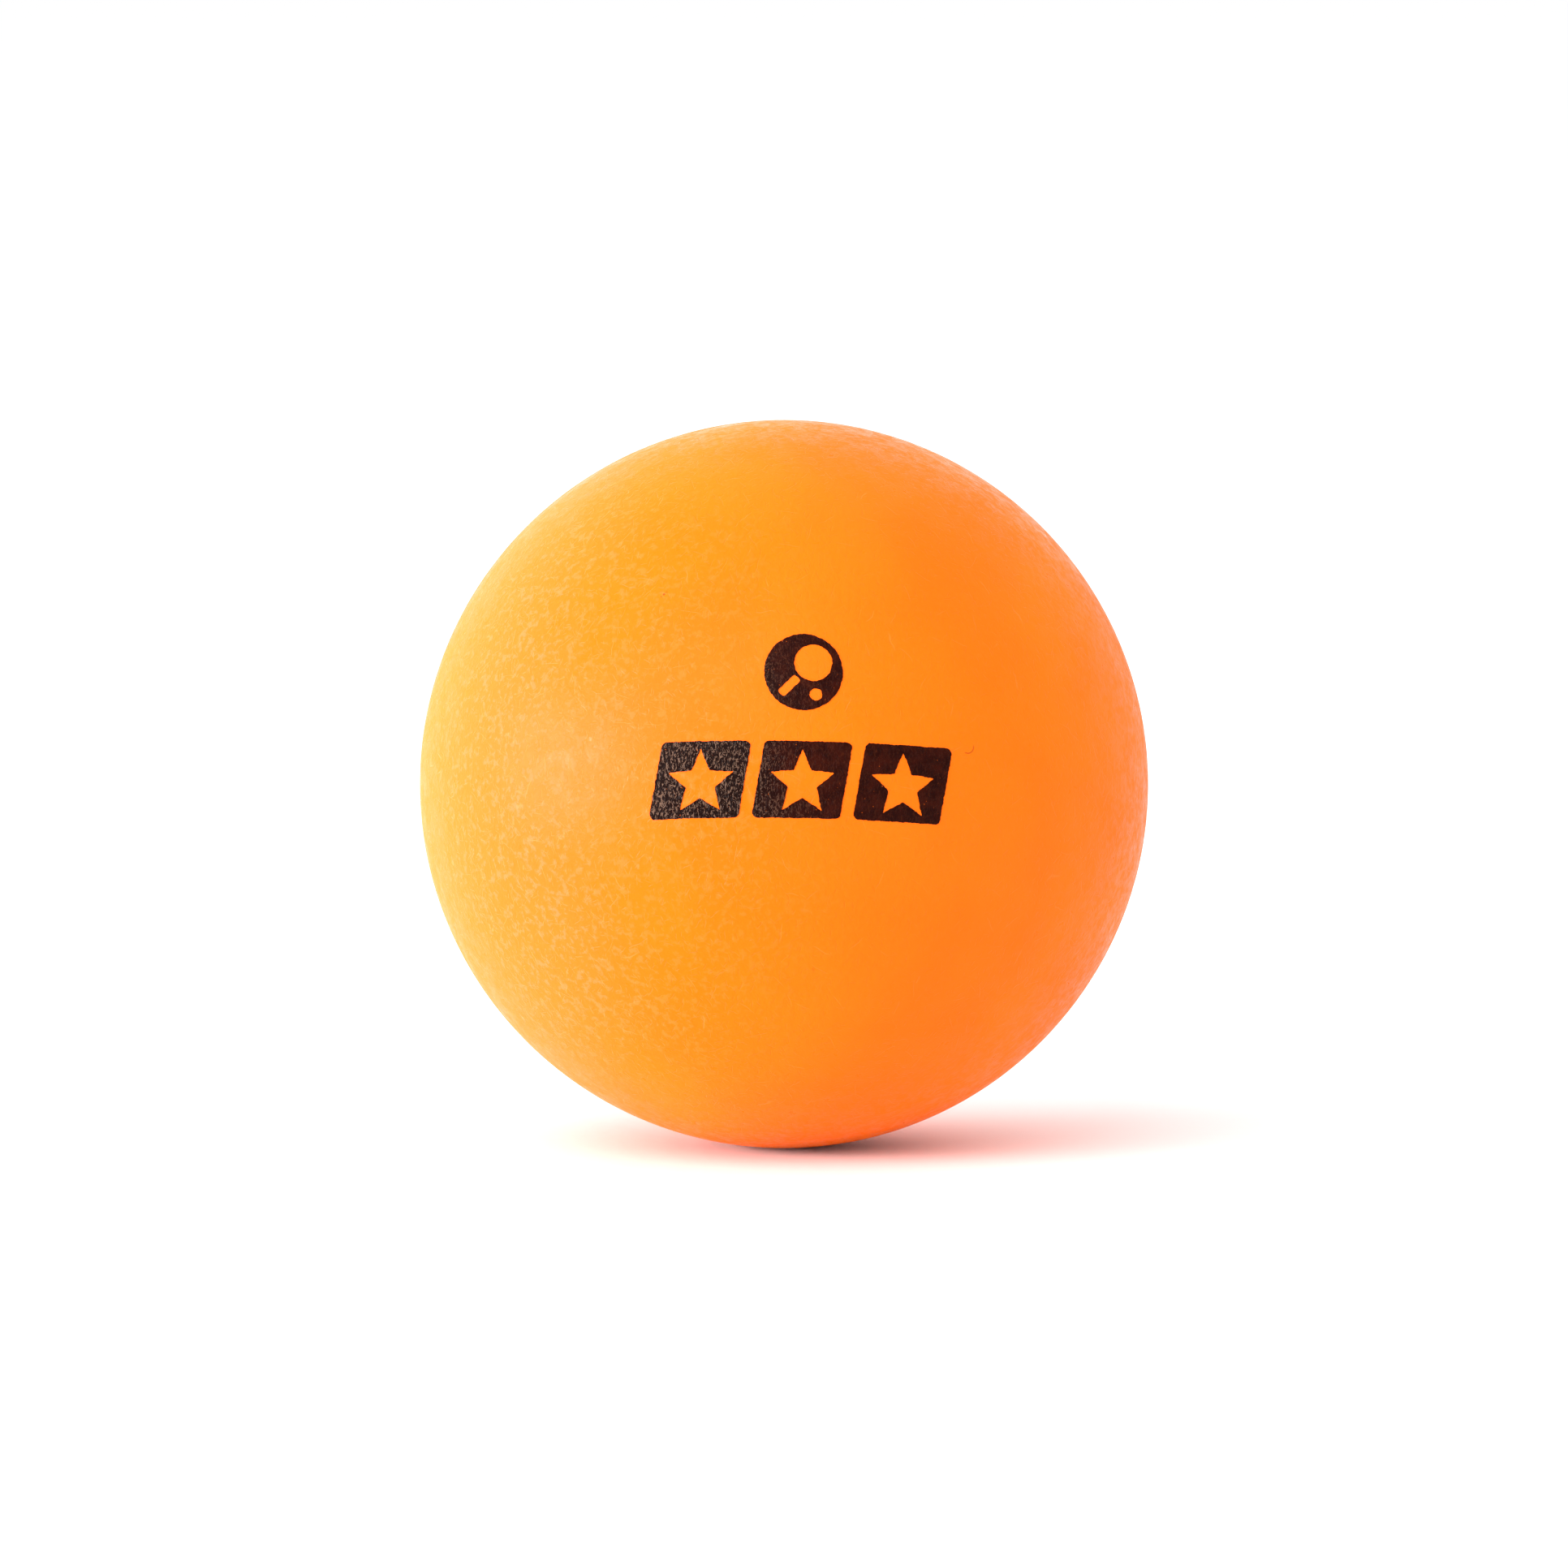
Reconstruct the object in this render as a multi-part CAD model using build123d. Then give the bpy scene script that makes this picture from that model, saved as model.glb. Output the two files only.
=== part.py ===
from build123d import *

import math
import os

# Table tennis ball, in millimetres. The origin is the ball's centre, +Z is up and -Y is the front,
# where the print is. The two half shells meet in the plane y = 0, so the seam's axis is Y.

# Shells
BALL_DIAMETER = 40.0   # regulation size
WALL = 0.5             # both half shells, away from the seam
# Seam: the rear half's tongue laps inside the front half's lip, within a thickened band
BAND_DEPTH = 0.35      # how far the band stands in from the wall
BAND_LAND = 0.8        # flat of the band past each end of the lap
BAND_RAMP = 0.6        # sloped run from the band back to the wall
LAP_LENGTH = 1.2       # reach of the tongue into the front half, from the seam plane
LEAD_IN = 0.1          # chamfer on the tongue's tip
SEAM_BEVEL = 0.06      # edge break on both outer rims
# Cement
CEMENT_GAP = 0.05      # clearance between the halves, all filled with cement
BEAD_REACH = 0.2       # how far the squeezed-out bead spreads along the band, each way
BEAD_HEIGHT = 0.12     # how far the bead stands in from the band
# Print
INK_FILM = 0.03        # thickness of the printed ink
PRINT_ELEVATION = 13.6 # degrees from -Y up to the middle of the print
PRINT_ROLL = 1.4       # degrees clockwise, seen from the front
# Emblem: a roundel with a bat and a ball left clear
EMBLEM_DIAMETER = 4.2
EMBLEM_RISE = 3.05     # its centre above the middle of the print
EMBLEM_RIM = 0.36      # least ink around the bat and ball
HANDLE_LENGTH = 1.45
HANDLE_WIDTH = 0.48
NECK_GAP = 0.16        # line of ink between blade and handle
CLEAR_BALL_DIAMETER = 0.68
BAT_LEAN = 45.0        # degrees from the print's right to the bat's blade
BALL_LEAN = -62.0      # degrees from the print's right to the clear ball
# Grade stars: a row of slanted plates, each with a star left clear
PLATE_SIDES = ("left", "centre", "right")
PLATE_WIDTH = 4.7
PLATE_HEIGHT = 4.05
PLATE_GAP = 0.7
PLATE_SLANT = 9.0      # degrees that a plate's sides lean to the right
PLATE_CORNER = 0.3
PLATE_DROP = 2.75      # the row's middle below the middle of the print
STAR_BORDER = 0.4      # ink above and below a star
STAR_WAIST = 0.45      # inner corners' radius over the points' radius

# Worked out from the sizes above
OUTER_R = BALL_DIAMETER / 2
INNER_R = OUTER_R - WALL
BAND_R = INNER_R - BAND_DEPTH
TONGUE_WALL = (OUTER_R - BAND_R - CEMENT_GAP) / 2  # lip and tongue share what the cement leaves
TONGUE_R = BAND_R + TONGUE_WALL
LIP_R = TONGUE_R + CEMENT_GAP
BUTT = CEMENT_GAP / 2
SHOULDER = LAP_LENGTH + CEMENT_GAP
RIM_R = OUTER_R - SEAM_BEVEL


def on_sphere(radius, y):
    """Point of a meridian, as distance from the seam's axis and height along it."""
    return (math.sqrt(radius**2 - y**2), y)


def meridian(radius, y):
    """Arc in the plane z = 0 from the nearer pole of a sphere to height y."""
    pole = math.copysign(90, y)
    return CenterArc((0, 0), radius, pole, math.degrees(math.asin(y / radius)) - pole)


def turned(outline):
    """Solid of revolution about the seam's axis."""
    return revolve(make_face(outline), Axis.Y)


def half_shell(outer_y, seam_points, inner_y):
    """One cup: outer sphere, the stepped seam section, inner sphere and the axis between."""
    outer = meridian(OUTER_R, outer_y)
    inner = meridian(INNER_R, inner_y)
    section = Polyline(on_sphere(OUTER_R, outer_y), *seam_points, on_sphere(INNER_R, inner_y))
    axis = Line(inner @ 0, outer @ 0)
    return turned(Curve() + [outer, section, inner, axis])


def front_half_shell():
    """Cup on the -Y side, rebated inside its rim for the tongue."""
    seam_points = [
        (RIM_R, -BUTT),
        (LIP_R, -BUTT),
        (LIP_R, -SHOULDER),
        (BAND_R, -SHOULDER),
        (BAND_R, -SHOULDER - BAND_LAND),
    ]
    return half_shell(-BUTT - SEAM_BEVEL, seam_points, -SHOULDER - BAND_LAND - BAND_RAMP)


def rear_half_shell():
    """Cup on the +Y side, with the tongue that reaches into the front half."""
    seam_points = [
        (RIM_R, BUTT),
        (TONGUE_R, BUTT),
        (TONGUE_R, LEAD_IN - LAP_LENGTH),
        (TONGUE_R - LEAD_IN, -LAP_LENGTH),
        (BAND_R, -LAP_LENGTH),
        (BAND_R, BAND_LAND),
    ]
    return half_shell(BUTT + SEAM_BEVEL, seam_points, BAND_LAND + BAND_RAMP)


def seam_cement():
    """Ring of cement that fills the stepped gap, with its bead inside the ball."""
    bead_low = (BAND_R, -SHOULDER - BEAD_REACH)
    bead_high = (BAND_R, BEAD_REACH - LAP_LENGTH)
    bead_top = (BAND_R - BEAD_HEIGHT, (bead_low[1] + bead_high[1]) / 2)
    gap = Polyline(
        bead_high,
        (BAND_R, -LAP_LENGTH),
        (TONGUE_R - LEAD_IN, -LAP_LENGTH),
        (TONGUE_R, LEAD_IN - LAP_LENGTH),
        (TONGUE_R, BUTT),
        (RIM_R, BUTT),
        (RIM_R, -BUTT),
        (LIP_R, -BUTT),
        (LIP_R, -SHOULDER),
        (BAND_R, -SHOULDER),
        bead_low,
    )
    return turned(Curve() + [gap, ThreePointArc(bead_low, bead_top, bead_high)])


def printed(mark):
    """Ink film on the ball, of a flat mark pressed on along the print's axis."""
    lift = math.radians(PRINT_ELEVATION)
    facing = Plane((0, 0, 0), x_dir=(1, 0, 0), z_dir=(0, -math.cos(lift), math.sin(lift)))
    stamp = extrude(facing * Rot(0, 0, -PRINT_ROLL) * mark, amount=BALL_DIAMETER)
    return stamp & (Sphere(OUTER_R + INK_FILM) - Sphere(OUTER_R))


def polar(radius, degrees):
    """Place at a distance and a direction in the print's plane."""
    return Pos(radius * math.cos(math.radians(degrees)), radius * math.sin(math.radians(degrees)))


def emblem_mark():
    """Roundel with a clear bat, its handle apart from its blade, and a clear ball."""
    field_r = EMBLEM_DIAMETER / 2 - EMBLEM_RIM
    blade_r = field_r - HANDLE_LENGTH / 2
    handle_length = HANDLE_LENGTH - NECK_GAP
    ball_r = CLEAR_BALL_DIAMETER / 2
    blade = polar(field_r - blade_r, BAT_LEAN) * Circle(blade_r)
    grip = RectangleRounded(handle_length, HANDLE_WIDTH, HANDLE_WIDTH / 4)
    handle = polar(handle_length / 2 - field_r, BAT_LEAN) * Rot(0, 0, BAT_LEAN) * grip
    ball = polar(field_r - ball_r, BALL_LEAN) * Circle(ball_r)
    return Pos(0, EMBLEM_RISE) * (Circle(EMBLEM_DIAMETER / 2) - blade - handle - ball)


def star():
    """Five-pointed star, one point up, centred on its own height."""
    step = math.radians(36)
    reach = (PLATE_HEIGHT - 2 * STAR_BORDER) / (1 + math.cos(step))
    sink = reach * (1 - math.cos(step)) / 2
    corners = []
    for k in range(10):
        radius = reach * (STAR_WAIST if k % 2 else 1)
        corners.append((radius * math.sin(k * step), radius * math.cos(k * step) - sink))
    return make_face(Polyline(*corners, close=True))


def plate_mark(place):
    """Slanted plate with a clear star, at its place in the row counted from the middle."""
    half_height = PLATE_HEIGHT / 2
    half_width = PLATE_WIDTH / 2
    lean = half_height * math.tan(math.radians(PLATE_SLANT))
    low = [(-half_width - lean, -half_height), (half_width - lean, -half_height)]
    high = [(half_width + lean, half_height), (lean - half_width, half_height)]
    plate = make_face(Polyline(*low, *high, close=True))
    plate = fillet(plate.vertices(), PLATE_CORNER)
    return Pos(place * (PLATE_WIDTH + PLATE_GAP), -PLATE_DROP) * (plate - star())


nodes = {
    "front_half_shell": front_half_shell(),
    "rear_half_shell": rear_half_shell(),
    "seam_cement": seam_cement(),
    "printed_emblem": printed(emblem_mark()),
}
for index, side in enumerate(PLATE_SIDES):
    place = index - (len(PLATE_SIDES) - 1) / 2
    nodes[f"printed_star_{side}"] = printed(plate_mark(place))

os.makedirs("parts", exist_ok=True)
for name, shape in nodes.items():
    export_step(shape, f"parts/{name}.step")
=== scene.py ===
"""Looks of the table tennis ball: finer shells with their stepped seam, a ragged ink film, satin tumbled
plastic with hairline scratches, and a white studio. Metres, +Z up; the print faces -Y."""

import math

import bmesh
import bpy
from mathutils import Matrix, Vector, noise


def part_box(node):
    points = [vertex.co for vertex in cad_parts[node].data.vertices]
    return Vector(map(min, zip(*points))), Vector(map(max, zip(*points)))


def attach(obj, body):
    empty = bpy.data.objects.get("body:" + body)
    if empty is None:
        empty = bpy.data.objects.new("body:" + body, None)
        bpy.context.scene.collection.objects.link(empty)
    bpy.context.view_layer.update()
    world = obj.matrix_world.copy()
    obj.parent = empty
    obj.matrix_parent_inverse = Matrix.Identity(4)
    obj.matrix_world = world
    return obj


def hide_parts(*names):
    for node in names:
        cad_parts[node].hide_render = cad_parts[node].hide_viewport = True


MM = 0.001

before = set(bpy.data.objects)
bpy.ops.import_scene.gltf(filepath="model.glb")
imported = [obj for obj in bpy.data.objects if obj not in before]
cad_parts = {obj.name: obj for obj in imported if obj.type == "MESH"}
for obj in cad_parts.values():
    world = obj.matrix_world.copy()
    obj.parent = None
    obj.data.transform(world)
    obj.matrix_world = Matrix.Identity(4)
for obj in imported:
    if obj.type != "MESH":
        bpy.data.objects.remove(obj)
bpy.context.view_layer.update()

# ---------------------------------------------------------------- sizes of the ball, as in the CAD model
OUTER_R = -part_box("front_half_shell")[0].y
WALL = 0.5 * MM
BAND_DEPTH = 0.35 * MM  # how far the thickened band at the seam stands in from the wall
BAND_LAND = 0.8 * MM
BAND_RAMP = 0.6 * MM
LAP_LENGTH = 1.2 * MM
LEAD_IN = 0.1 * MM
SEAM_BEVEL = 0.06 * MM
CEMENT_GAP = 0.05 * MM
BEAD_REACH = 0.2 * MM
BEAD_HEIGHT = 0.12 * MM
INNER_R = OUTER_R - WALL
BAND_R = INNER_R - BAND_DEPTH
TONGUE_R = BAND_R + (OUTER_R - BAND_R - CEMENT_GAP) / 2
LIP_R = TONGUE_R + CEMENT_GAP
RIM_R = OUTER_R - SEAM_BEVEL
BUTT = CEMENT_GAP / 2
SHOULDER = LAP_LENGTH + CEMENT_GAP

# print: its plane's tilt, and its marks in that plane
INK_FILM = 0.03 * MM
PRINT_ELEVATION = 13.6  # degrees
PRINT_ROLL = 1.4        # degrees, clockwise
EMBLEM_R = 2.1 * MM
EMBLEM_RISE = 3.05 * MM
EMBLEM_RIM = 0.36 * MM
HANDLE_LENGTH = 1.45 * MM
HANDLE_WIDTH = 0.48 * MM
NECK_GAP = 0.16 * MM
CLEAR_BALL_R = 0.34 * MM
BAT_LEAN = 45.0         # degrees
BALL_LEAN = -62.0       # degrees
PLATE_WIDTH = 4.7 * MM
PLATE_HEIGHT = 4.05 * MM
PLATE_GAP = 0.7 * MM
PLATE_SLANT = 9.0       # degrees
PLATE_CORNER = 0.3 * MM
PLATE_DROP = 2.75 * MM
STAR_BORDER = 0.4 * MM
STAR_WAIST = 0.45

# ---------------------------------------------------------------- fineness of the meshes
TURN_STEPS = 360        # faces round the seam's axis
OUTER_STEPS = 130       # faces from pole to seam, outside
INNER_STEPS = 40        # and inside
ROUND_STEPS = 4         # over the broken edge of a rim
INK_STEP = 0.04 * MM    # grid of the ink film
ON_AXIS = 0.04 * MM     # a point this near the axis is on it
SHARP = math.radians(25)
CEMENT_WAVES = 9        # how quickly the cement's outer face wanders

# the ink's ragged edge: two sizes of nibs, each with its height and how many go to a millimetre
NIBS = ((0.024, 3.1), (0.030, 8.3))

# marks on the plastic, at x and z in millimetres on the ball's front
SPECKS = (              # place, radius and strength
    ((-7.20, 11.50), 0.08, 0.70),
    ((-7.34, 11.38), 0.06, 0.45),
    ((-7.07, 11.62), 0.06, 0.35),
    ((0.60, -8.35), 0.10, 0.18),
)
HAIR_PLACE = (8.9, 3.5)
HAIR_RADIUS = 0.36
HAIR_WIDTH = 0.05
BUFF_HALF_WIDTH = 0.7   # of the buffed band, each side of the seam
BUFF_WANDER = 0.9
LIT_SIDE_WANDER = 8.0        # how far the edge of the lit side, where sheen and glints are painted, wanders


# ---------------------------------------------------------------- meshes
def finish_mesh(name, mesh, material, slot, *replaced):
    """Object of a mesh, smooth but for its sharp edges, riding on the ball in place of CAD nodes."""
    mesh.shade_smooth()
    mesh.set_sharp_from_angle(angle=SHARP)
    mesh.materials.append(material)
    piece = bpy.data.objects.new(name, mesh)
    bpy.context.scene.collection.objects.link(piece)
    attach(piece, "root")
    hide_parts(*replaced)
    return piece


def turned_mesh(name, section, is_ring, wander=None):
    """Section of (distance from Y, y) points turned about Y. A ring's section closes on itself, and
    any other starts and ends on the axis. wander moves a point's distance as it goes round."""
    bm = bmesh.new()
    turns = [math.tau * k / TURN_STEPS for k in range(TURN_STEPS)]
    rings = []
    for number, (radius, y) in enumerate(section):
        if radius < ON_AXIS:
            rings.append([bm.verts.new((0, y, 0))])
            continue
        ring = []
        for turn in turns:
            reach = radius + (wander(number, turn) if wander else 0)
            ring.append(bm.verts.new((reach * math.cos(turn), y, reach * math.sin(turn))))
        rings.append(ring)
    pairs = list(zip(rings, rings[1:]))
    if is_ring:
        pairs.append((rings[-1], rings[0]))
    for low, high in pairs:
        for k in range(TURN_STEPS):
            ends = (low[k % len(low)], low[(k + 1) % len(low)])
            far_ends = (high[(k + 1) % len(high)], high[k % len(high)])
            bm.faces.new(dict.fromkeys(ends + far_ends))
    bmesh.ops.recalc_face_normals(bm, faces=bm.faces)
    mesh = bpy.data.meshes.new(name)
    bm.to_mesh(mesh)
    bm.free()
    return mesh


def meridian(radius, y, steps):
    """Points of a sphere's section from its nearer pole to height y."""
    pole = math.copysign(math.pi / 2, y)
    sweep = math.asin(y / radius) - pole
    angles = [pole + sweep * k / steps for k in range(steps + 1)]
    return [(radius * math.cos(a), radius * math.sin(a)) for a in angles]


def broken_edge(side):
    """Points that round a rim's outer edge over, from the sphere to the butt face. side is -1 at
    the front shell and 1 at the rear one."""
    points = []
    for k in range(1, ROUND_STEPS):
        turn = math.pi / 2 * k / ROUND_STEPS
        sink = SEAM_BEVEL * (1 - math.cos(turn))
        points.append((OUTER_R - sink, side * (BUTT + SEAM_BEVEL * (1 - math.sin(turn)))))
    return points + [(RIM_R, side * BUTT)]


def shell_mesh(name, side, seam_points, inner_y):
    """One cup of the ball: outer sphere, rounded rim, stepped seam, inner sphere."""
    outer = meridian(OUTER_R, side * (BUTT + SEAM_BEVEL), OUTER_STEPS)
    inner = meridian(INNER_R, inner_y, INNER_STEPS)
    section = outer + broken_edge(side) + seam_points + inner[::-1]
    return turned_mesh(name, section, is_ring=False)


def front_shell_mesh():
    """Cup on the print's side, rebated inside its rim."""
    seam_points = [
        (LIP_R, -BUTT),
        (LIP_R, -SHOULDER),
        (BAND_R, -SHOULDER),
        (BAND_R, -SHOULDER - BAND_LAND),
    ]
    inner_y = -SHOULDER - BAND_LAND - BAND_RAMP
    return shell_mesh("front_shell", -1, seam_points, inner_y)


def rear_shell_mesh():
    """Cup with the tongue that laps inside the front one."""
    seam_points = [
        (TONGUE_R, BUTT),
        (TONGUE_R, LEAD_IN - LAP_LENGTH),
        (TONGUE_R - LEAD_IN, -LAP_LENGTH),
        (BAND_R, -LAP_LENGTH),
        (BAND_R, BAND_LAND),
    ]
    return shell_mesh("rear_shell", 1, seam_points, BAND_LAND + BAND_RAMP)


def cement_mesh():
    """Cement in the stepped gap. Its outer face wanders in height, as a filled and tumbled seam's does."""
    section = [
        (RIM_R, BUTT),
        (RIM_R, -BUTT),
        (LIP_R, -BUTT),
        (LIP_R, -SHOULDER),
        (BAND_R, -SHOULDER),
        (BAND_R, -SHOULDER - BEAD_REACH),
        (BAND_R - BEAD_HEIGHT, -SHOULDER + BUTT),
        (BAND_R, BEAD_REACH - LAP_LENGTH),
        (BAND_R, -LAP_LENGTH),
        (TONGUE_R - LEAD_IN, -LAP_LENGTH),
        (TONGUE_R, LEAD_IN - LAP_LENGTH),
        (TONGUE_R, BUTT),
    ]

    def wander(number, turn):
        if number > 1:
            return 0
        place = Vector((math.cos(turn), math.sin(turn), 0)) * CEMENT_WAVES
        return max(0, noise.noise(place)) * SEAM_BEVEL

    return turned_mesh("cement_line", section, is_ring=True, wander=wander)


# ---------------------------------------------------------------- print
def circle_depth(x, y, centre_x, centre_y, radius):
    """How far a place lies inside a circle."""
    return radius - math.hypot(x - centre_x, y - centre_y)


def polygon_depth(x, y, corners):
    """How far a place lies inside a polygon, and below 0 outside it."""
    nearest = math.inf
    is_inside = False
    for (ax, ay), (bx, by) in zip(corners, corners[1:] + corners[:1]):
        ex, ey = bx - ax, by - ay
        along = ((x - ax) * ex + (y - ay) * ey) / (ex * ex + ey * ey)
        along = min(1, max(0, along))
        nearest = min(nearest, math.hypot(x - ax - along * ex, y - ay - along * ey))
        if (ay > y) != (by > y) and x < ax + (y - ay) / (by - ay) * ex:
            is_inside = not is_inside
    return nearest if is_inside else -nearest


def slab_depth(x, y, low, length, width):
    """How far a place lies inside a bar along x from low, its corners rounded by a quarter width."""
    corner = width / 4
    over_x = abs(x - low - length / 2) - length / 2 + corner
    over_y = abs(y) - width / 2 + corner
    outside = math.hypot(max(over_x, 0), max(over_y, 0))
    return corner - outside - min(max(over_x, over_y), 0)


def emblem_depth(x, y):
    """Roundel with a clear bat and a clear ball."""
    field_r = EMBLEM_R - EMBLEM_RIM
    blade_r = field_r - HANDLE_LENGTH / 2
    lean = math.radians(BAT_LEAN)
    along = x * math.cos(lean) + y * math.sin(lean)
    across = y * math.cos(lean) - x * math.sin(lean)
    blade = circle_depth(along, across, field_r - blade_r, 0, blade_r)
    handle = slab_depth(along, across, -field_r, HANDLE_LENGTH - NECK_GAP, HANDLE_WIDTH)
    ball_reach = field_r - CLEAR_BALL_R
    ball_lean = math.radians(BALL_LEAN)
    ball_x, ball_y = ball_reach * math.cos(ball_lean), ball_reach * math.sin(ball_lean)
    ball = circle_depth(x, y, ball_x, ball_y, CLEAR_BALL_R)
    return min(circle_depth(x, y, 0, 0, EMBLEM_R), -blade, -handle, -ball)


def star_corners():
    """Corners of a star, one point up, centred on its own height."""
    step = math.radians(36)
    reach = (PLATE_HEIGHT - 2 * STAR_BORDER) / (1 + math.cos(step))
    sink = reach * (1 - math.cos(step)) / 2
    corners = []
    for k in range(10):
        radius = reach * (STAR_WAIST if k % 2 else 1)
        corners.append((radius * math.sin(k * step), radius * math.cos(k * step) - sink))
    return corners


def plate_corners():
    """Corners of a slanted plate, drawn in by the radius of its rounded corners."""
    slant = math.radians(PLATE_SLANT)
    half_height = PLATE_HEIGHT / 2 - PLATE_CORNER
    half_width = PLATE_WIDTH / 2 - PLATE_CORNER / math.cos(slant)
    lean = half_height * math.tan(slant)
    low = [(-half_width - lean, -half_height), (half_width - lean, -half_height)]
    return low + [(half_width + lean, half_height), (lean - half_width, half_height)]


STAR = star_corners()
PLATE = plate_corners()


def plate_depth(x, y):
    """Slanted plate with a clear star."""
    return min(polygon_depth(x, y, PLATE) + PLATE_CORNER, -polygon_depth(x, y, STAR))


def ragged(depth, x, y, seed):
    """Depth with the small nibs and bites of a printed edge."""
    place = Vector((x / MM, y / MM, seed))
    return depth + sum(height * noise.noise(place * pace) for height, pace in NIBS) * MM


def print_matrix():
    """From the print's plane, x right and y up, to the ball: its outward axis leans up from -Y."""
    up = math.radians(PRINT_ELEVATION)
    out = Vector((0, -math.cos(up), math.sin(up)))
    right = Vector((1, 0, 0))
    basis = Matrix((right, out.cross(right), out)).transposed()
    return basis @ Matrix.Rotation(math.radians(-PRINT_ROLL), 3, "Z")


def film_mesh(name, depth, centre, half_size, seed):
    """Closed film of ink on the ball where depth is above 0, cut cell by cell from a fine grid."""
    counts = [math.ceil(half / INK_STEP) + 3 for half in half_size]
    columns = range(-counts[0], counts[0] + 1)
    rows = range(-counts[1], counts[1] + 1)
    depths = {}
    for i in columns:
        for j in rows:
            x, y = i * INK_STEP, j * INK_STEP
            depths[i, j] = ragged(depth(x, y), x, y, seed)
    places, numbers, cells = [], {}, []

    def number_of(key, x, y):
        if key not in numbers:
            numbers[key] = len(places)
            places.append((centre[0] + x * INK_STEP, centre[1] + y * INK_STEP))
        return numbers[key]

    for i in columns[:-1]:
        for j in rows[:-1]:
            corners = [(i, j), (i + 1, j), (i + 1, j + 1), (i, j + 1)]
            if max(depths[c] for c in corners) <= 0:
                continue
            cell = []
            for here, there in zip(corners, corners[1:] + corners[:1]):
                if depths[here] > 0:
                    cell.append(number_of(here, *here))
                if (depths[here] > 0) != (depths[there] > 0):
                    share = depths[here] / (depths[here] - depths[there])
                    x = here[0] + share * (there[0] - here[0])
                    y = here[1] + share * (there[1] - here[1])
                    cell.append(number_of(frozenset((here, there)), x, y))
            cells.append(cell)

    turn = print_matrix()
    verts = []
    for radius in (OUTER_R + INK_FILM, OUTER_R):
        verts += [turn @ Vector((x, y, math.sqrt(radius**2 - x * x - y * y))) for x, y in places]
    under = len(places)
    edges = {(a, b) for cell in cells for a, b in zip(cell, cell[1:] + cell[:1])}
    walls = [(a + under, b + under, b, a) for a, b in edges if (b, a) not in edges]
    floors = [[v + under for v in reversed(cell)] for cell in cells]
    mesh = bpy.data.meshes.new(name)
    mesh.from_pydata(verts, [], cells + floors + sorted(walls))
    mesh.validate()
    return mesh


# ---------------------------------------------------------------- materials
class Graph:
    """A material's node tree, built by short calls. An input is a value or another node's output."""

    def __init__(self, name):
        self.material = bpy.data.materials.new(name)
        self.material.use_nodes = True
        self.tree = self.material.node_tree
        self.shader = self.tree.nodes["Principled BSDF"]

    def node(self, kind, inputs, **settings):
        made = self.tree.nodes.new(kind)
        for key, value in settings.items():
            setattr(made, key, value)
        for key, value in inputs.items():
            self.set(made, key, value)
        return made

    def set(self, node, key, value):
        if isinstance(value, bpy.types.NodeSocket):
            self.tree.links.new(value, node.inputs[key])
        else:
            node.inputs[key].default_value = value

    def math(self, operation, a, b=0.0, c=0.0):
        return self.node("ShaderNodeMath", {0: a, 1: b, 2: c}, operation=operation).outputs[0]

    def most(self, *values):
        largest = values[0]
        for value in values[1:]:
            largest = self.math("MAXIMUM", largest, value)
        return largest

    def vector(self, operation, a, b=(0, 0, 0)):
        made = self.node("ShaderNodeVectorMath", {0: a, 1: b}, operation=operation)
        return made.outputs["Value" if operation in ("DOT_PRODUCT", "LENGTH", "DISTANCE") else "Vector"]

    def scaled(self, vector, factor):
        made = self.node("ShaderNodeVectorMath", {0: vector, "Scale": factor}, operation="SCALE")
        return made.outputs["Vector"]

    def ramp(self, value, low, high, to_low=0.0, to_high=1.0):
        inputs = {"Value": value, "From Min": low, "From Max": high, "To Min": to_low, "To Max": to_high}
        return self.node("ShaderNodeMapRange", inputs, interpolation_type="SMOOTHSTEP").outputs[0]

    def scale_of(self, value, factor):
        return self.math("MULTIPLY", value, factor)

    def mix_value(self, factor, a, b):
        return self.node("ShaderNodeMix", {"Factor": factor, 2: a, 3: b}, data_type="FLOAT").outputs[0]

    def mix(self, factor, a, b):
        made = self.node("ShaderNodeMix", {"Factor": factor, 6: a, 7: b}, data_type="RGBA")
        return made.outputs[2]

    def noise(self, vector, scale, detail=2.0, roughness=0.5):
        inputs = {"Vector": vector, "Scale": scale, "Detail": detail, "Roughness": roughness}
        return self.node("ShaderNodeTexNoise", inputs)

    def finish(self, colour, roughness, height, distance):
        self.set(self.shader, "Base Color", colour)
        self.set(self.shader, "Roughness", roughness)
        bump = self.node("ShaderNodeBump", {"Height": height, "Distance": distance})
        self.set(self.shader, "Normal", bump.outputs[0])
        return self.material


def place_mm(graph):
    """Place on the ball in millimetres, in the row frame."""
    coordinates = graph.node("ShaderNodeTexCoord", {}).outputs["Object"]
    return graph.scaled(coordinates, 1000)


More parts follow.
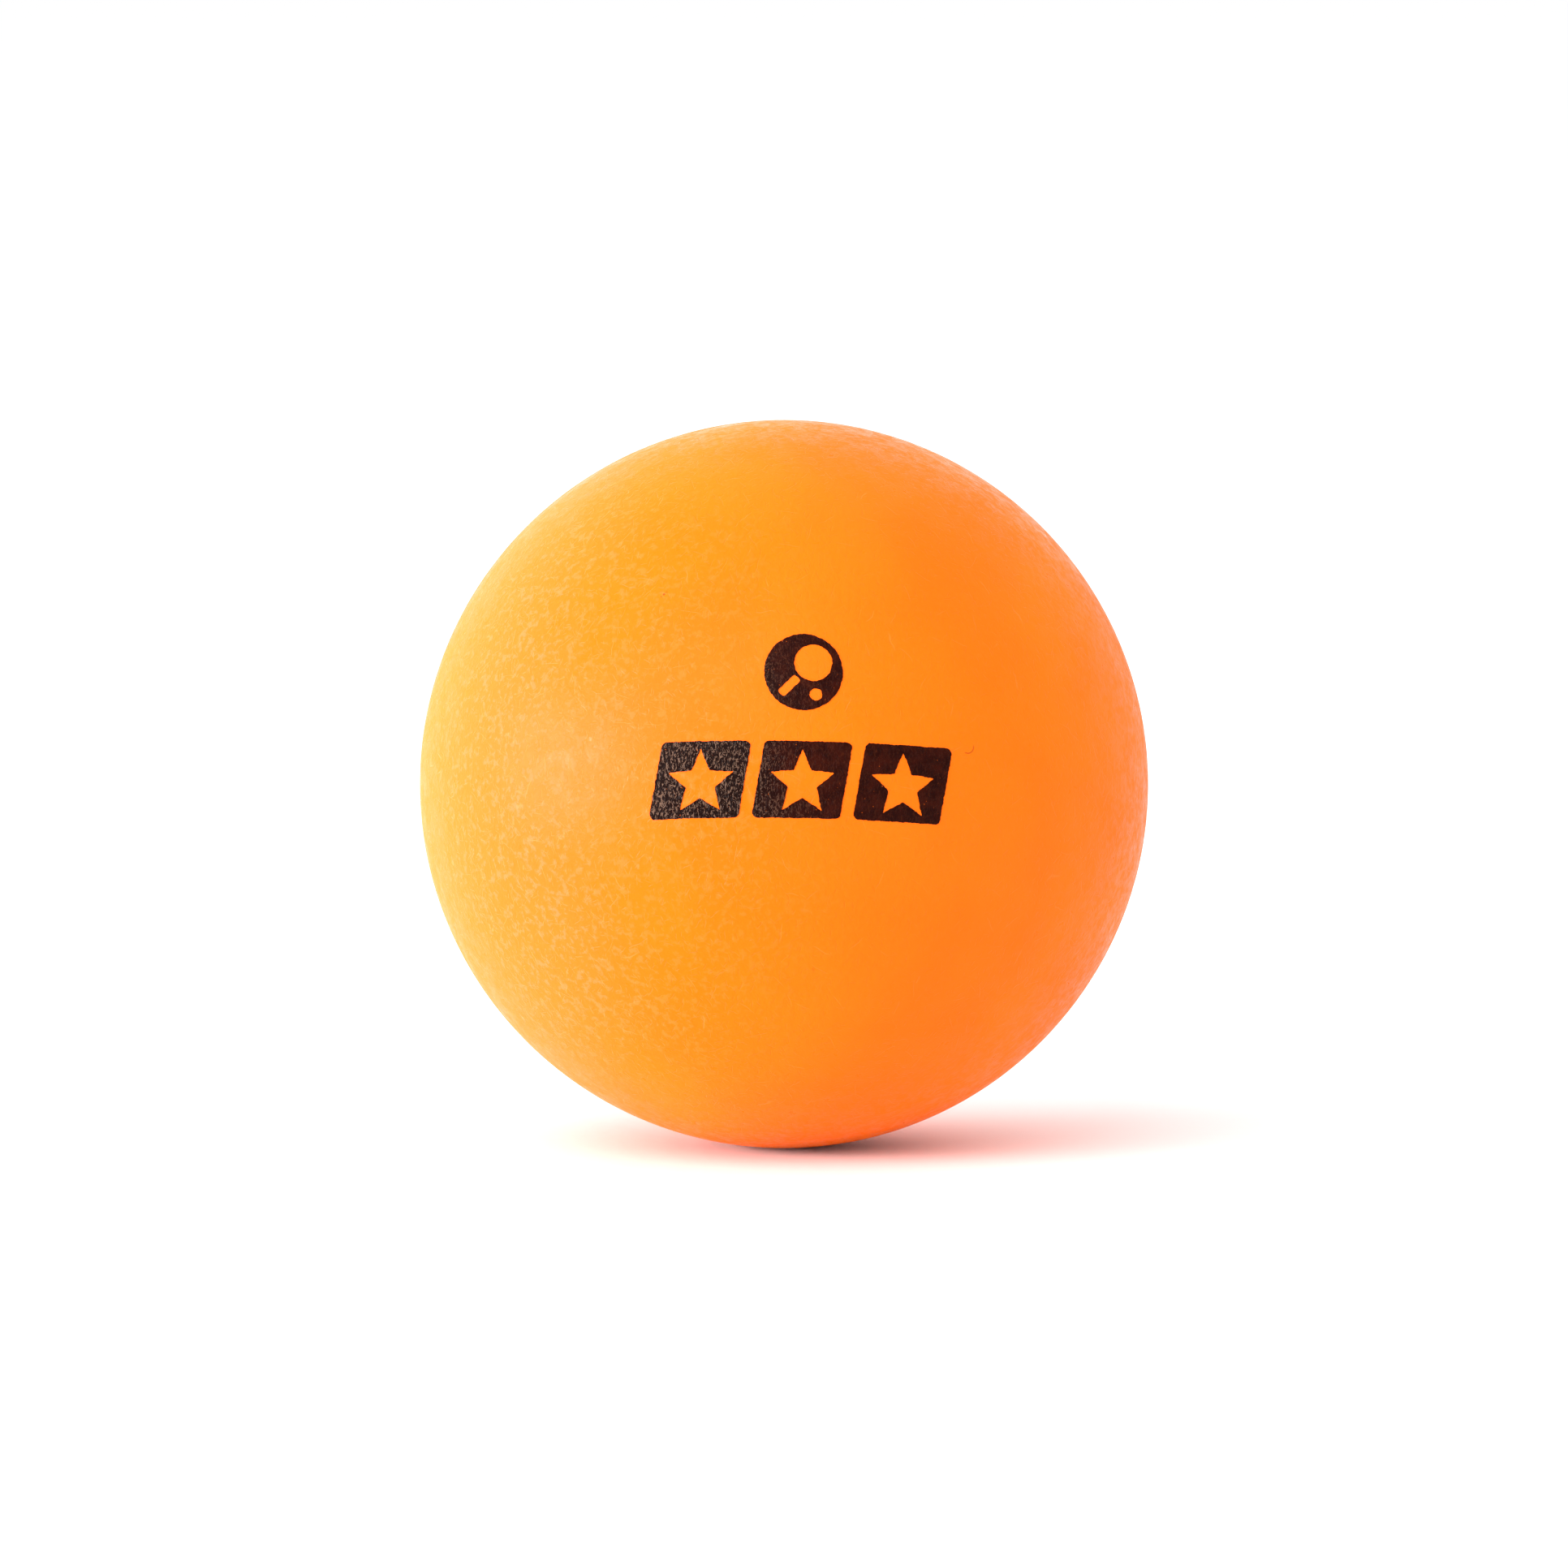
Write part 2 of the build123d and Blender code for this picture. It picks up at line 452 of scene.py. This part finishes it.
def hairlines(graph, place, spacing, length, width, seed, spread=(1, 1, 1)):
    """Mask of short scratches, one to a cell, each at an angle of its own and slightly bent. spread
    scales the direction across a scratch: a small z makes the scratches run up and down."""
    shifted = graph.vector("ADD", place, (seed * 7.3, seed * -4.1, seed * 2.9))
    bend = graph.noise(shifted, 0.9 / length).outputs["Color"]
    bend = graph.scaled(graph.vector("SUBTRACT", bend, (0.5, 0.5, 0.5)), length * 0.35)
    bent = graph.vector("ADD", shifted, bend)
    inputs = {"Vector": bent, "Scale": 1 / spacing, "Randomness": 1.0}
    cells = graph.node("ShaderNodeTexVoronoi", inputs)
    offset = graph.vector("SUBTRACT", bent, cells.outputs["Position"])
    across = graph.vector("SUBTRACT", cells.outputs["Color"], (0.5, 0.5, 0.5))
    across = graph.vector("NORMALIZE", graph.vector("MULTIPLY", across, spread))
    away = graph.math("ABSOLUTE", graph.vector("DOT_PRODUCT", offset, across))
    line = graph.ramp(away, width * 0.5, 0.0)
    ends = graph.ramp(graph.vector("LENGTH", offset), length * 0.5, length * 0.25)
    return graph.math("MULTIPLY", line, ends)


def on_front(x, z):
    """Point on the ball's front, in millimetres."""
    return (x, -math.sqrt((OUTER_R / MM) ** 2 - x * x - z * z), z)


def speck(graph, place, spot, radius):
    """Mask of a round spot on the ball's front."""
    return graph.ramp(graph.vector("DISTANCE", place, on_front(*spot)), radius, radius * 0.6)


def hair_mark(graph, place):
    """Mask of a tiny bent fibre: the lower right of a thin ring, on the ball's front."""
    centre = on_front(*HAIR_PLACE)
    away = graph.math("SUBTRACT", graph.vector("DISTANCE", place, centre), HAIR_RADIUS)
    ring = graph.ramp(graph.math("ABSOLUTE", away), HAIR_WIDTH, HAIR_WIDTH * 0.4)
    side = graph.vector("DOT_PRODUCT", graph.vector("SUBTRACT", place, centre), (0.57, 0.0, -0.82))
    return graph.math("MULTIPLY", ring, graph.ramp(side, HAIR_RADIUS * 0.25, HAIR_RADIUS * 0.6))


def seam_band(graph, place):
    """Mask of the band about the seam that was buffed flush, and the fine lines that run round it."""
    y = graph.node("ShaderNodeSeparateXYZ", {0: place}).outputs["Y"]
    edge = graph.noise(place, 0.5, 2.0).outputs["Fac"]
    reach = graph.math("MULTIPLY_ADD", edge, BUFF_WANDER, graph.math("ABSOLUTE", y))
    band = graph.ramp(reach, BUFF_HALF_WIDTH + BUFF_WANDER, BUFF_HALF_WIDTH)
    lines = graph.noise(graph.vector("MULTIPLY", place, (0.5, 14, 0.5)), 1.0, 2.0).outputs["Fac"]
    return band, lines


def lit_side_mask(graph, place, dim_x, lit_x, least):
    """Mask of the ball's left side, where the key light falls, to paint sheen and glints there: least at
    the first x, 1 at the second.
    """
    x = graph.node("ShaderNodeSeparateXYZ", {0: place}).outputs["X"]
    patchy = graph.noise(place, 0.12, 2.0).outputs["Fac"]
    x = graph.math("MULTIPLY_ADD", graph.math("SUBTRACT", patchy, 0.5), LIT_SIDE_WANDER, x)
    return graph.ramp(x, dim_x, lit_x, least, 1.0)


def plastic_material():
    """Orange tumbled plastic: mottled satin skin, hairline scratches, bits of dirt moulded in, a fibre
    and a buffed band at the seam; on the left side, where the key light falls, painted sheen: a paler
    haze, pale flecks and lighter scratches."""
    graph = Graph("orange_tumbled_plastic")
    place = place_mm(graph)
    cloud = graph.noise(place, 0.12, 2.0).outputs["Fac"]
    patches = graph.noise(place, 0.8, 2.0).outputs["Fac"]
    mottle = graph.noise(place, 2.5, 4.0, 0.62).outputs["Fac"]
    grain = graph.noise(place, 6.0, 2.0).outputs["Fac"]
    sheen_flecks = graph.ramp(mottle, 0.49, 0.64)
    band, band_lines = seam_band(graph, place)
    unbuffed = graph.math("SUBTRACT", 1.0, band)
    fine = hairlines(graph, place, 0.65, 0.7, 0.05, 1)
    long = hairlines(graph, place, 1.5, 1.3, 0.05, 2)
    faint = hairlines(graph, place, 0.40, 0.40, 0.05, 3, (1, 1, 0.5))
    scratches = graph.math("MULTIPLY", graph.most(fine, long, faint), unbuffed)
    deep_scratches = graph.math("MULTIPLY", long, unbuffed)
    # Mask of the left side, where the key light falls, for the painted sheen and glints below.
    lit_side = lit_side_mask(graph, place, 3, -15, 0.08)
    # Mask of the far left, for painted sheen.
    painted_sheen = lit_side_mask(graph, place, -6, -15, 0.0)

    colour = graph.mix(graph.ramp(cloud, 0.35, 0.65), (0.95, 0.162, 0.001, 1), (0.97, 0.176, 0.002, 1))
    # Painted sheen: the base colour and the flecks are drawn paler on the far left.
    colour = graph.mix(painted_sheen, colour, (0.98, 0.181, 0.012, 1))
    sheen_fleck_colour = graph.mix(painted_sheen, (1.0, 0.205, 0.025, 1), (1.0, 0.214, 0.055, 1))
    # Painted sheen: pale flecks, drawn on the lit left side only.
    colour = graph.mix(graph.math("MULTIPLY", sheen_flecks, lit_side), colour, sheen_fleck_colour)
    # Painted glints: scratches drawn lighter on the lit left side.
    glinting_scratches = graph.math("MULTIPLY", scratches, graph.scale_of(lit_side, 0.50))
    colour = graph.mix(glinting_scratches, colour, (1.0, 0.26, 0.070, 1))
    colour = graph.mix(graph.scale_of(deep_scratches, 0.30), colour, (1.0, 0.25, 0.040, 1))
    colour = graph.mix(graph.scale_of(band, 0.25), colour, (0.93, 0.14, 0.003, 1))
    for spot, radius, strength in SPECKS:
        dirt = graph.scale_of(speck(graph, place, spot, radius), strength)
        colour = graph.mix(dirt, colour, (0.10, 0.04, 0.004, 1))
    colour = graph.mix(graph.scale_of(hair_mark(graph, place), 0.6), colour, (0.20, 0.04, 0.003, 1))

    satin = graph.ramp(mottle, 0.38, 0.62, 0.33, 0.53)
    roughness = graph.math("ADD", satin, graph.ramp(patches, 0.3, 0.7, -0.06, 0.10))
    roughness = graph.mix_value(graph.scale_of(scratches, 0.8), roughness, 0.25)
    roughness = graph.math("SUBTRACT", roughness, graph.scale_of(band, 0.08))

    height = graph.math("MULTIPLY_ADD", grain, 0.5, graph.scale_of(mottle, 3.0))
    height = graph.math("SUBTRACT", height, graph.scale_of(scratches, 0.8))
    height = graph.mix_value(graph.scale_of(band, 0.7), height, graph.scale_of(band_lines, 0.5))
    graph.set(graph.shader, "IOR", 1.18)
    graph.set(graph.shader, "Diffuse Roughness", 1.0)
    return graph.finish(colour, roughness, height, 0.012 * MM)


def ink_material():
    """Dark brown pad-printing ink: finely scored, with painted glints in the scratches at its left where
    the key light falls, darker between them there, and pinholes to the orange.
    """
    graph = Graph("brown_black_ink")
    place = place_mm(graph)
    cloud = graph.noise(place, 1.3, 3.0).outputs["Fac"]
    fibres = graph.noise(graph.vector("MULTIPLY", place, (9, 9, 4)), 1.0, 3.0).outputs["Fac"]
    pinholes = graph.ramp(graph.noise(place, 7.0, 1.0).outputs["Fac"], 0.74, 0.80, 0, 0.6)
    fine = hairlines(graph, place, 0.17, 0.45, 0.05, 4, (1, 1, 0.35))
    long = hairlines(graph, place, 0.30, 0.75, 0.06, 5, (1, 1, 0.35))
    short = hairlines(graph, place, 0.13, 0.25, 0.05, 6, (1, 1, 0.6))
    scratches = graph.most(fine, long, short)
    scored = graph.math("MULTIPLY", scratches, graph.ramp(fibres, 0.45, 0.56))
    # Mask of the left side, where the key light falls, for the painted glints below.
    lit_side = lit_side_mask(graph, place, 4, -8, 0.35)
    glint_side = graph.ramp(lit_side, 0.4, 0.9)

    colour = graph.mix(graph.ramp(cloud, 0.35, 0.7), (0.014, 0.0012, 0.0004, 1), (0.029, 0.003, 0.0008, 1))
    # Towards the left the ink is drawn darker between the scratches.
    colour = graph.mix(glint_side, colour, (0.007, 0.0018, 0.001, 1))
    # Scratch colour: orange-brown at the centre and right, painted whitish glints at the left.
    scratch_and_glint_colour = graph.mix(glint_side, (0.06, 0.013, 0.004, 1), (0.130, 0.072, 0.048, 1))
    colour = graph.mix(graph.math("MULTIPLY", scored, lit_side), colour, scratch_and_glint_colour)
    colour = graph.mix(pinholes, colour, (0.50, 0.08, 0.003, 1))

    roughness = graph.ramp(cloud, 0.3, 0.7, 0.24, 0.34)
    height = graph.math("MULTIPLY_ADD", cloud, 0.4, graph.scale_of(fibres, 1.5))
    height = graph.math("SUBTRACT", height, scratches)
    graph.set(graph.shader, "IOR", 1.12)
    return graph.finish(colour, roughness, height, 0.012 * MM)


def cement_material():
    """Cement in the seam: the plastic's own colour, a little deeper and glossier."""
    graph = Graph("orange_cement")
    place = place_mm(graph)
    cloud = graph.noise(place, 1.1, 3.0).outputs["Fac"]
    colour = graph.mix(graph.ramp(cloud, 0.3, 0.7), (0.80, 0.10, 0.003, 1), (0.95, 0.17, 0.006, 1))
    roughness = graph.ramp(cloud, 0.3, 0.7, 0.25, 0.40)
    graph.set(graph.shader, "IOR", 1.3)
    return graph.finish(colour, roughness, cloud, 0.01 * MM)


def paper_material():
    """White seamless paper."""
    graph = Graph("white_paper")
    place = place_mm(graph)
    fibre = graph.noise(place, 0.8, 4.0).outputs["Fac"]
    colour = graph.mix(fibre, (0.94, 0.94, 0.94, 1), (0.96, 0.96, 0.96, 1))
    graph.set(graph.shader, "Specular IOR Level", 0.0)
    return graph.finish(colour, 0.9, fibre, 0.02 * MM)


# ---------------------------------------------------------------- the ball
plastic = plastic_material()
ink = ink_material()
finish_mesh("front_shell", front_shell_mesh(), plastic, "ball_plastic", "front_half_shell")
finish_mesh("rear_shell", rear_shell_mesh(), plastic, "ball_plastic", "rear_half_shell")
finish_mesh("cement_line", cement_mesh(), cement_material(), "cement", "seam_cement")

emblem = film_mesh("emblem", emblem_depth, (0, EMBLEM_RISE), (EMBLEM_R, EMBLEM_R), 1)
finish_mesh("emblem", emblem, ink, "ink", "printed_emblem")
PLATE_REACH = PLATE_WIDTH / 2 + PLATE_HEIGHT / 2 * math.tan(math.radians(PLATE_SLANT))
for place, side in enumerate(("left", "centre", "right"), start=-1):
    middle = (place * (PLATE_WIDTH + PLATE_GAP), -PLATE_DROP)
    plate = film_mesh(f"star_{side}", plate_depth, middle, (PLATE_REACH, PLATE_HEIGHT / 2), 3 + place)
    finish_mesh(f"star_{side}", plate, ink, "ink", f"printed_star_{side}")

# ---------------------------------------------------------------- studio
CAMERA_DISTANCE = 0.6
CAMERA_AZIMUTH = -3.0    # degrees; 0 looks along +Y
CAMERA_ELEVATION = 5.0
BALL_SHARE = 0.4645      # the ball's diameter as a share of the picture's width
SENSOR = 36.0
FLOOR_R = 30.0


def aimed(obj, azimuth, elevation, distance):
    """Puts a camera or light at that side of the ball, turned to its centre."""
    a, e = math.radians(azimuth), math.radians(elevation)
    back = Vector((math.sin(a) * math.cos(e), -math.cos(a) * math.cos(e), math.sin(e)))
    obj.location = back * distance
    obj.rotation_euler = (-back).to_track_quat("-Z", "Y").to_euler()


def camera():
    """Long lens whose picture the ball fills to BALL_SHARE."""
    data = bpy.data.cameras.new("camera")
    data.sensor_width = SENSOR
    half_angle = math.asin(OUTER_R / CAMERA_DISTANCE)
    data.lens = BALL_SHARE * SENSOR / (2 * math.tan(half_angle))
    obj = bpy.data.objects.new("camera", data)
    bpy.context.scene.collection.objects.link(obj)
    aimed(obj, CAMERA_AZIMUTH, CAMERA_ELEVATION, CAMERA_DISTANCE)
    bpy.context.scene.camera = obj


def softbox(name, azimuth, elevation, distance, width, height, watts):
    """Rectangular light, out of the camera's sight."""
    data = bpy.data.lights.new(name, "AREA")
    data.shape = "RECTANGLE"
    data.size = width
    data.size_y = height
    data.energy = watts
    obj = bpy.data.objects.new(name, data)
    obj.visible_camera = False
    bpy.context.scene.collection.objects.link(obj)
    aimed(obj, azimuth, elevation, distance)


def paper_floor():
    """White floor, so wide that its edge melts into the white surroundings."""
    mesh = bpy.data.meshes.new("paper_floor")
    bm = bmesh.new()
    bmesh.ops.create_circle(bm, cap_ends=True, segments=96, radius=FLOOR_R)
    bmesh.ops.translate(bm, verts=bm.verts, vec=(0, 0, -OUTER_R))
    bm.to_mesh(mesh)
    bm.free()
    mesh.materials.append(paper_material())
    floor = bpy.data.objects.new("paper_floor", mesh)
    bpy.context.scene.collection.objects.link(floor)


camera()
paper_floor()
softbox("key", -74, 6, 0.9, 0.6, 0.3, 17.0)
softbox("front", -30, 36, 1.1, 0.9, 0.8, 7.5)
softbox("rim", -125, 10, 0.9, 0.8, 0.5, 1)
softbox("back", 180, 18, 1.0, 0.8, 0.5, 1)

world = bpy.data.worlds.new("studio")
world.use_nodes = True
world.node_tree.nodes["Background"].inputs["Color"].default_value = (1, 1, 1, 1)
world.node_tree.nodes["Background"].inputs["Strength"].default_value = 1.05
bpy.context.scene.world = world
bpy.context.scene.view_settings.view_transform = "Standard"
